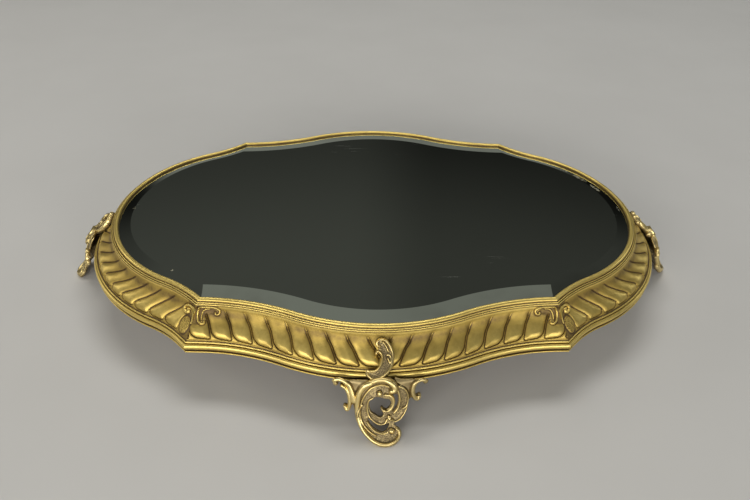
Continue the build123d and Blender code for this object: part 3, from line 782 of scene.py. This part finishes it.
RIMS = [
    [(9.9, 30.7), (12, 33.1), (15.9, 36), (18.1, 40.4), (18.4, 45.9), (17.4, 50.1), (14.7, 51.8)],
    [(18, 51.1), (16.2, 55.5), (13.2, 59.4), (9.9, 61.3), (7.2, 61.1), (5.4, 59.2), (5.1, 57.2)],
    [(7.2, 60.1), (5.1, 60.1), (3.8, 58.2), (4.2, 56.8)],
    [
        (3.9, 32.7), (0.3, 31.4), (-3.9, 31.6), (-8.7, 33.9), (-12.9, 39.2), (-15.6, 45.9), (-16.8, 52.8),
        (-16.5, 58.8), (-14.7, 64.4), (-11.1, 68.9), (-6.9, 71.9),
    ],
    [(-15.1, 48.3), (-16.5, 50.7), (-18, 54.2), (-18.6, 57.5)],
    [
        (-6.9, 41.7), (-9.9, 43.4), (-11.4, 48), (-11.4, 52.8), (-9.9, 57.5), (-6.9, 61.1), (-2.7, 63.4),
        (0.9, 62.6), (2.9, 59.6),
    ],
    [(10.6, 36), (12, 41), (12, 46.6), (10.6, 51.4), (8, 54.8)],
    [(-11.9, 62), (-8.6, 67.2), (-3, 70.4), (1.2, 69.8), (4, 66.6)],
    [(-2.6, 1.1), (0, 1.7), (2.4, 4.8), (3.9, 8)],
    [(3, 10.5), (4.8, 10.5), (5.8, 12.8), (5.1, 15.8), (4, 14), (3.4, 12.8)],
]
PEARLS = [((5.1, 68.5), 2.3, 2.3, 2.0), ((-2.7, 38.0), 1.9, 2.6, 1.6)]
FOOT_RUN = 80.6  # length of the pattern
FOOT_SIDE = [
    (12.5, 62.8), (14.5, 59.5), (17.6, 56.0), (21.6, 52.4), (26.0, 49.0), (30.4, 45.8), (34.4, 42.8),
    (36.2, 38.8), (38.4, 33.0), (40.2, 26.0), (42.2, 19.0), (45.9, 11.0), (51.0, 4.5), (56.5, 0.0),
]
FIELD_LEVEL, DISH_DEPTH, DISH_WIDTH = -0.2, 0.7, 4.0
WEB_LEVEL, WEB_RISE = -1.6, 1.2
BAND_BASE = 0.6
RIM_RADIUS, RIM_RISE, RIM_SHADOW = 0.62, 0.9, 1.15
BACK_LEVEL, EDGE_ROUND, BACK_ROUND = -3.3, 0.9, 1.2
SIDE_SHIFT, TOE_SHIFT = 2.6, 2.0
LEAF_LIFT, LEAF_END, CROWN = 1.6, 26, 0.0045


def foot_field(x, t):
    """Signed distance to the casting's outline, height, wear (with painted shadow beside the rims and round
    the pearls) and grain over the flattened foot.
    """
    leaf = signed(smooth(LEAF, 5, closed=True), x, t)
    solid = signed(smooth(BODY, 5, closed=True), x, t)
    solid = np.maximum(solid, leaf)
    web = np.maximum(*[signed(smooth(w, 5, closed=True), x, t) for w in WEBS])
    for hole in HOLES:
        solid = np.minimum(solid, -signed(smooth(hole, 5, closed=True), x, t))
    bands = []
    for points, r0, r1, rise in EARS + BANDS:
        curve = smooth(points, 7)
        d, r = distance_to(curve, x, t, np.linspace(r0, r1, len(curve)))
        bands.append((d, r, rise))
    outline = np.maximum(solid, web)
    for d, r, _ in bands:
        outline = np.maximum(outline, r - d)
    # heights over the sunk field
    height = np.full(x.shape, FIELD_LEVEL)
    on_web = (solid < 0.2) & (web > -0.5)
    height = np.where(on_web, WEB_LEVEL + WEB_RISE * smoothstep(-1.2, 0.4, solid), height)
    wear_and_painted_light = np.where(on_web, 0.36, 0.30)
    grain = np.where(on_web, 0.0, 1.0)
    height = height - DISH_DEPTH * smoothstep(0.0, DISH_WIDTH, solid) * (solid > 0)
    for d, r, rise in bands:
        lift = np.clip(1 - (d / np.maximum(r, 0.1)) ** 2, 0, 1) ** 0.5
        over = d < r
        height = np.where(over, np.maximum(height, (rise + BAND_BASE) * lift - BAND_BASE), height)
        wear_and_painted_light = np.where(over, np.maximum(wear_and_painted_light, 0.25 + 0.65 * lift), wear_and_painted_light)
        grain = np.where(over, 0.0, grain)
    for points in RIMS:
        d, _ = distance_to(smooth(points, 7), x, t)
        lift = np.clip(1 - (d / RIM_RADIUS) ** 2, 0, 1) ** 0.5
        over = d < RIM_RADIUS
        height = np.where(over, np.maximum(height + RIM_RISE * lift, 0.7 * lift), height)
        wear_and_painted_light = np.where(over, 0.45 + 0.6 * lift, np.where(d < RIM_SHADOW, wear_and_painted_light * 0.35, wear_and_painted_light))
        grain = np.where(d < 0.8, 0.0, grain)
    for (px, pt), rx, rt, rise in PEARLS:
        d = np.hypot((x - px) / rx, (t - pt) / rt)
        lift = np.clip(1 - d**2, 0, 1) ** 0.5
        height = np.where(d < 1, np.maximum(height, -0.4 + (rise + 0.4) * lift), height)
        # painted shadow: a dark ring round each pearl where it meets the field
        wear_and_painted_light = np.where(d < 1, 0.35 + 0.65 * lift, np.where(d < 1.25, 0.02, wear_and_painted_light))
        grain = np.where(d < 1.1, 0.0, grain)
    return outline, height, wear_and_painted_light, grain


def foot_blank():
    """The casting as a flat relief: snapped grid, faces, heights and attributes."""
    step = 0.3 / DETAIL
    xs = np.arange(-39.5, 35.0, step)
    ts = np.arange(-3.5, 83.0, step)
    x, t = np.meshgrid(xs, ts, indexing="ij")
    outline, *_ = foot_field(x, t)
    gx, gt = np.gradient(outline, step)
    steep = np.maximum(gx**2 + gt**2, 0.3)
    snap = (outline > -0.75 * step) & (outline < 0.3 * step)
    x[snap] -= (outline * gx / steep)[snap]
    t[snap] -= (outline * gt / steep)[snap]
    keep = outline > -0.75 * step
    cells = keep[:-1, :-1] & keep[1:, :-1] & keep[1:, 1:] & keep[:-1, 1:]
    index = np.arange(x.size).reshape(x.shape)
    quads = np.stack([index[:-1, :-1], index[1:, :-1], index[1:, 1:], index[:-1, 1:]], -1)[cells]
    used = np.unique(quads)
    renumber = np.full(x.size, -1)
    renumber[used] = np.arange(len(used))
    quads = renumber[quads]
    x, t = x.ravel()[used], t.ravel()[used]
    outline, height, wear_and_painted_light, grain = foot_field(x, t)
    edge = np.clip(outline, 0, None)
    height = height - EDGE_ROUND * (1 - np.sqrt(1 - (1 - np.clip(edge / EDGE_ROUND, 0, 1)) ** 2))
    wear_and_painted_light = np.clip(wear_and_painted_light + 0.35 * np.exp(-((edge / 0.5) ** 2)), 0, 1)
    back = BACK_LEVEL + 0.7 * (1 - np.sqrt(1 - (1 - np.clip(edge / BACK_ROUND, 0, 1)) ** 2))
    # boundary edges, walked the way the front faces run
    edges = np.concatenate([quads[:, [0, 1]], quads[:, [1, 2]], quads[:, [2, 3]], quads[:, [3, 0]]])
    keys = edges[:, 0].astype(np.int64) * len(used) + edges[:, 1]
    flipped = edges[:, 1].astype(np.int64) * len(used) + edges[:, 0]
    rim = edges[~np.isin(keys, flipped)]
    return x, t, height, back, wear_and_painted_light, grain, quads, rim


BLANK = foot_blank()


def flange(lobe):
    """Curved shelf under the base moulding."""
    rows, half, inner, outer = 21, 17.0, 12.8, 35.0
    loop = np.array([(inner, 35.4), (inner, 32.6), (outer, 32.6), (outer, 35.4)])
    theta = np.linspace(-half, half, rows) / (lobe.convex + 16.0)
    r = lobe.convex + loop[:, 0]
    x = np.sin(theta)[:, None] * r[None, :]
    y = lobe.c1[1] + np.cos(theta)[:, None] * r[None, :]
    x, y = lobe.world(x, y)
    z = np.broadcast_to(loop[:, 1], x.shape)
    verts = np.stack([x, y, z], -1).reshape(-1, 3)
    first, last = np.array([[0, 1, 2, 3]]), np.array([[3, 2, 1, 0]]) + (rows - 1) * 4
    faces = [grid_quads(rows, 4, wrap_columns=True), first, last]
    return verts, outward(verts, faces)


def make_foot(lobe):
    x, t, height, back, wear_and_painted_light, grain, quads, rim = BLANK
    side = smooth(FOOT_SIDE, 12)
    run = np.concatenate([[0], np.cumsum(np.hypot(*np.diff(side, axis=0).T))])
    x = x + SIDE_SHIFT + TOE_SHIFT * smoothstep(56, 76, t)
    t = t - LEAF_LIFT * np.clip(1 - t / LEAF_END, 0, 1)
    t = np.clip(np.where(t > 0, t * run[-1] / FOOT_RUN, t), -3.4, run[-1])
    over = np.minimum(t, 0)
    u = np.interp(t, run, side[:, 0]) + 0.4 * over
    z = np.interp(t, run, side[:, 1]) - 0.85 * over
    tu = np.interp(t, run, np.gradient(side[:, 0], run))
    tz = np.interp(t, run, np.gradient(side[:, 1], run))
    length = np.hypot(tu, tz)
    nu, nz = -tz / length, tu / length
    # the hip and toe swell sideways into a gentle crown
    crown = -CROWN * x**2 * smoothstep(20, 40, t)
    layers = []
    for lift in (height + crown, back + crown):
        uu = u + nu * lift
        zz = np.maximum(z + nz * lift, 0.0)
        theta = -x / (lobe.convex + u)
        r = lobe.convex + uu
        px, py = lobe.world(np.sin(theta) * r, lobe.c1[1] + np.cos(theta) * r)
        layers.append(np.stack([px, py, zz], -1))
    n = len(x)
    verts = np.vstack(layers)
    walls = np.stack([rim[:, 1], rim[:, 0], rim[:, 0] + n, rim[:, 1] + n], -1)
    faces = outward(verts, [quads, quads[:, ::-1] + n, walls])
    extra, extra_faces = flange(lobe)
    values = {
        "wear_and_painted_light": np.concatenate([wear_and_painted_light, np.full(n, 0.22), np.full(len(extra), 0.25)]),
        "grain": np.concatenate([grain, np.zeros(n + len(extra))]),
    }
    faces = faces + [f + 2 * n for f in extra_faces]
    piece(
        f"foot_{lobe.name}_look", np.vstack([verts, extra]), faces, FOOT_METAL,
        (f"foot_{lobe.name}",), values=values, sharp=60,
    )


for lobe in LOBES:
    make_foot(lobe)


# --- Mirror plate ---
def ring(offset, side_offset=None, n_reverse=40, n_convex=110):
    """Closed outline at an offset, which may differ on the two ends; always the same count of points."""
    side_offset = offset if side_offset is None else side_offset
    points = []
    for index, lobe in enumerate(LOBES):
        other = LOBES[(index + 1) % 4]
        own_offset, other_offset = (offset, side_offset) if index % 2 == 0 else (side_offset, offset)
        second = other.c2[::-1]
        r1, r2 = lobe.reverse - own_offset, other.reverse - other_offset
        step = second - lobe.c2
        apart = np.hypot(*step)
        step = step / apart
        along = (apart**2 + r1**2 - r2**2) / (2 * apart)
        across = math.sqrt(r1**2 - along**2)
        options = [lobe.c2 + step * along + np.array([-step[1], step[0]]) * across * k for k in (-1, 1)]
        corner = min(options, key=lambda p: np.hypot(*p))
        to_corner = lobe.c2 - corner
        phi = np.linspace(math.atan2(to_corner[0], to_corner[1]), lobe.phi1, n_reverse, endpoint=False)
        rx, ry = lobe.c2[0] - r1 * np.sin(phi), lobe.c2[1] - r1 * np.cos(phi)
        phi = np.linspace(-lobe.phi1, lobe.phi1, n_convex)
        reach = lobe.convex + own_offset
        cx, cy = reach * np.sin(phi), lobe.c1[1] + reach * np.cos(phi)
        x = np.concatenate([-rx, cx, rx[::-1]])[:-1]
        y = np.concatenate([ry, cy, ry[::-1]])[:-1]
        points.append(np.stack(lobe.world(x, y), -1))
    return np.vstack(points)


# worn patches in the silvering: centre, half axes, turn in degrees
LOSSES = [
    ((194.5, 76.0), (7.0, 2.2), -48.0), ((206.5, 59.5), (13.0, 3.2), -55.0),
    ((216.5, 39.0), (12.0, 2.6), -68.0), ((227.6, 2.0), (9.0, 1.0), -88.0),
    ((-221.0, -0.5), (2.6, 1.5), 80.0), ((-219.6, 5.2), (2.0, 1.0), 20.0),
    ((-165.6, -95.2), (2.2, 1.4), 20.0), ((10.6, -35.0), (2.6, 1.4), 90.0),
]
FLAT_RINGS = (1.0, 0.99, 0.98, 0.97, 0.96, 0.94, 0.92, 0.88, 0.8, 0.6, 0.3)  # shares of the flat's outline
BACK_RINGS = (1.0, 0.6)
BEVEL_STEPS = 9


def make_mirror():
    """The plate in separate bands, so every ground edge stays crisp."""
    verts, faces, edge_value = [], [], []

    def band(loops, heights, values):
        count = len(loops[0])
        base = sum(len(v) for v in verts)
        for loop, z, value in zip(loops, heights, values):
            verts.append(np.column_stack([loop, np.full(count, z)]))
            edge_value.append(np.full(count, value))
        for k in range(len(loops) - 1):
            a = np.arange(count) + base + k * count
            b = np.roll(np.arange(count), -1) + base + k * count
            faces.append(np.stack([a, b, b + count, a + count], -1))
        return base

    def cap(loop, z, inner_value, outer_value, shrink):
        """Flat fill: nested copies of the loop and a fan to the middle."""
        count = len(loop)
        values = np.linspace(outer_value, inner_value, len(shrink))
        base = band([loop * k for k in shrink], [z] * len(shrink), values)
        last = base + (len(shrink) - 1) * count
        verts.append(np.array([[0.0, 0.0, z]]))
        edge_value.append(np.array([inner_value]))
        a = np.arange(count) + last
        b = np.roll(np.arange(count), -1) + last
        faces.append(np.stack([a, b, np.full(count, last + count)], -1))

    steps = np.linspace(1.0, 0.0, BEVEL_STEPS)
    drop = GLASS_TOP - MARGIN_TOP
    slopes = [ring(-LONG_BEVEL * k, -SIDE_BEVEL * k) for k in steps]
    flat, margin, edge = slopes[0], slopes[-1], ring(GLASS_EDGE)
    band(slopes, [GLASS_TOP - drop * (1 - k) for k in steps], 1.0 - 0.45 * steps)
    band([margin, edge], [MARGIN_TOP, MARGIN_TOP], [1.0, 1.0])
    cap(flat, GLASS_TOP, 0.0, 0.5, FLAT_RINGS)
    upper = len(faces)
    cap(edge, GLASS_BOTTOM, 0.5, 1.0, BACK_RINGS)
    wall = len(faces)
    band([edge, edge], [GLASS_BOTTOM, MARGIN_TOP], [1.0, 1.0])
    points = np.vstack(verts)
    turned = []
    for index, block in enumerate(faces):
        a, b, c = (points[block[:, k]] for k in range(3))
        normals = np.cross(b - a, c - a)
        if index >= wall:
            middle = points[block].mean(1)
            facing = (normals[:, :2] * middle[:, :2]).sum()
        else:
            facing = normals[:, 2].sum() * (1 if index < upper else -1)
        turned.append(block if facing > 0 else block[:, ::-1])
    loss = np.zeros(len(points))
    for (cx, cy), (rx, ry), turn in LOSSES:
        c, s = math.cos(math.radians(turn)), math.sin(math.radians(turn))
        dx, dy = points[:, 0] - cx, points[:, 1] - cy
        d = np.hypot((dx * c + dy * s) / rx, (-dx * s + dy * c) / ry)
        loss = np.maximum(loss, np.clip(1.25 - d, 0, 1))
    piece(
        "mirror_plate_look", points, turned, MIRROR, ("mirror_plate",),
        values={"edge": np.concatenate(edge_value), "loss": loss}, sharp=3,
    )


make_mirror()

# --- CAD nodes that keep their shape ---
KEPT = {
    "backing_card": CARD, "back_board": WOOD, "button_lugs": PLAIN_BRASS,
    "button_screws": STEEL, "foot_screws": STEEL,
}
KEPT.update({f"turn_button_{i}": PLAIN_BRASS for i in range(1, 9)})
for node, material in KEPT.items():
    data = NODES[node].data
    if not data.materials:
        data.materials.append(material)
    for slot in range(len(data.materials)):
        data.materials[slot] = material


# --- Floor, light and camera ---
def make_floor():
    mesh = bpy.data.meshes.new("floor")
    mesh.from_pydata([(-5, -5, 0), (5, -5, 0), (5, 5, 0), (-5, 5, 0)], [], [(0, 1, 2, 3)])
    floor = bpy.data.objects.new("floor", mesh)
    bpy.context.scene.collection.objects.link(floor)
    m = Shader("floor_paper")
    m.link(m.mix(m.noise(6, 3), (0.60, 0.59, 0.57), (0.66, 0.65, 0.63)), m.bsdf.inputs["Base Color"])
    m.bsdf.inputs["Roughness"].default_value = 0.85
    m.bsdf.inputs["Specular IOR Level"].default_value = 0.2
    mesh.materials.append(m.material)


def area(name, place, aim, size, power, colour=(1, 1, 1)):
    light = bpy.data.lights.new(name, "AREA")
    light.shape = "RECTANGLE"
    light.size, light.size_y = size
    light.energy = power
    light.color = colour
    lamp = bpy.data.objects.new(name, light)
    bpy.context.scene.collection.objects.link(lamp)
    lamp.location = place
    lamp.rotation_euler = (Vector(aim) - Vector(place)).to_track_quat("-Z", "Y").to_euler()
    return lamp


make_floor()
area("key", (-0.9, -2.0, 0.7), (0, 0, 0.05), (1.5, 0.6), 27, (1.0, 0.97, 0.92))
area("front_fill", (0.9, -2.1, 0.5), (0, 0, 0.05), (1.2, 0.5), 17, (1.0, 0.98, 0.95))
area("overhead", (0.0, 0.9, 2.4), (0, 0, 0.05), (2.0, 0.8), 26, (1.0, 0.99, 0.96))
area("left_rim", (-2.2, 0.4, 0.9), (0, 0, 0.05), (0.5, 1.2), 8, (1.0, 0.97, 0.93))
area("right_rim", (2.2, 0.6, 0.8), (0, 0, 0.05), (0.5, 1.0), 5, (0.95, 0.98, 1.0))


HORIZON, PANEL, NEAR_WALL = 0.17, 0.13, 0.10
FAR_WALL_LOW, FAR_WALL_HIGH, LEFT_HALF = 0.006, 0.040, 0.018
GREEN_TINT, BLUE_TINT = 1.04, 0.96


def make_world():
    """A dim room: lighter near the horizon, with one pale panel high on the far wall."""
    world = bpy.data.worlds.new("studio")
    bpy.context.scene.world = world
    world.use_nodes = True
    tree = world.node_tree
    background = tree.nodes["Background"]
    coords = tree.nodes.new("ShaderNodeTexCoord")
    split = tree.nodes.new("ShaderNodeSeparateXYZ")
    tree.links.new(coords.outputs["Generated"], split.inputs["Vector"])

    def step(source, low, high, to_low, to_high):
        node = tree.nodes.new("ShaderNodeMapRange")
        node.interpolation_type = "SMOOTHSTEP"
        for key, value in zip(("From Min", "From Max", "To Min", "To Max"), (low, high, to_low, to_high)):
            node.inputs[key].default_value = value
        tree.links.new(source, node.inputs["Value"])
        return node.outputs["Result"]

    def join(operation, a, b):
        node = tree.nodes.new("ShaderNodeMath")
        node.operation = operation
        for socket, value in zip(node.inputs, (a, b)):
            if isinstance(value, float):
                socket.default_value = value
            else:
                tree.links.new(value, socket)
        return node.outputs[0]

    up, across, away = split.outputs["Z"], split.outputs["X"], split.outputs["Y"]
    width = join("ABSOLUTE", across, 0.0)
    horizon = join("MULTIPLY", step(up, 0.34, 0.42, HORIZON, 0.0), step(width, 0.30, 0.39, 1.0, 0.0))
    panel = join("MULTIPLY", step(up, 0.67, 0.70, 0.0, 1.0), step(up, 0.79, 0.84, 1.0, 0.0))
    sideways = join("ABSOLUTE", join("SUBTRACT", across, 0.02), 0.0)
    panel = join("MULTIPLY", panel, step(sideways, 0.255, 0.285, 1.0, 0.0))
    panel = join("MULTIPLY", panel, step(away, 0.2, 0.3, 0.0, PANEL))
    near = step(away, -0.35, 0.0, NEAR_WALL, 0.0)
    left_half = join("MULTIPLY", step(across, -0.02, 0.12, LEFT_HALF, 0.0), step(width, 0.34, 0.42, 1.0, 0.0))
    wall = join("ADD", step(up, 0.38, 0.60, FAR_WALL_LOW, FAR_WALL_HIGH), left_half)
    total = join("ADD", join("ADD", join("ADD", horizon, panel), near), wall)
    tint = tree.nodes.new("ShaderNodeCombineColor")
    tree.links.new(total, tint.inputs["Red"])
    tree.links.new(join("MULTIPLY", total, GREEN_TINT), tint.inputs["Green"])
    tree.links.new(join("MULTIPLY", total, BLUE_TINT), tint.inputs["Blue"])
    tree.links.new(tint.outputs["Color"], background.inputs["Color"])
    background.inputs["Strength"].default_value = 1.0


make_world()

camera_data = bpy.data.cameras.new("camera")
camera_data.sensor_width = 36.0
camera_data.lens = 32.7
camera = bpy.data.objects.new("camera", camera_data)
bpy.context.scene.collection.objects.link(camera)
camera.location = (-0.0150, -0.5375, 0.4014)
pan, tilt, roll = (math.radians(a) for a in (-1.65, 54.83, 1.04))
turned = Matrix.Rotation(pan, 3, "Z") @ Matrix.Rotation(tilt, 3, "X") @ Matrix.Rotation(roll, 3, "Z")
camera.rotation_euler = turned.to_euler()
bpy.context.scene.camera = camera
bpy.context.scene.view_settings.view_transform = "Standard"
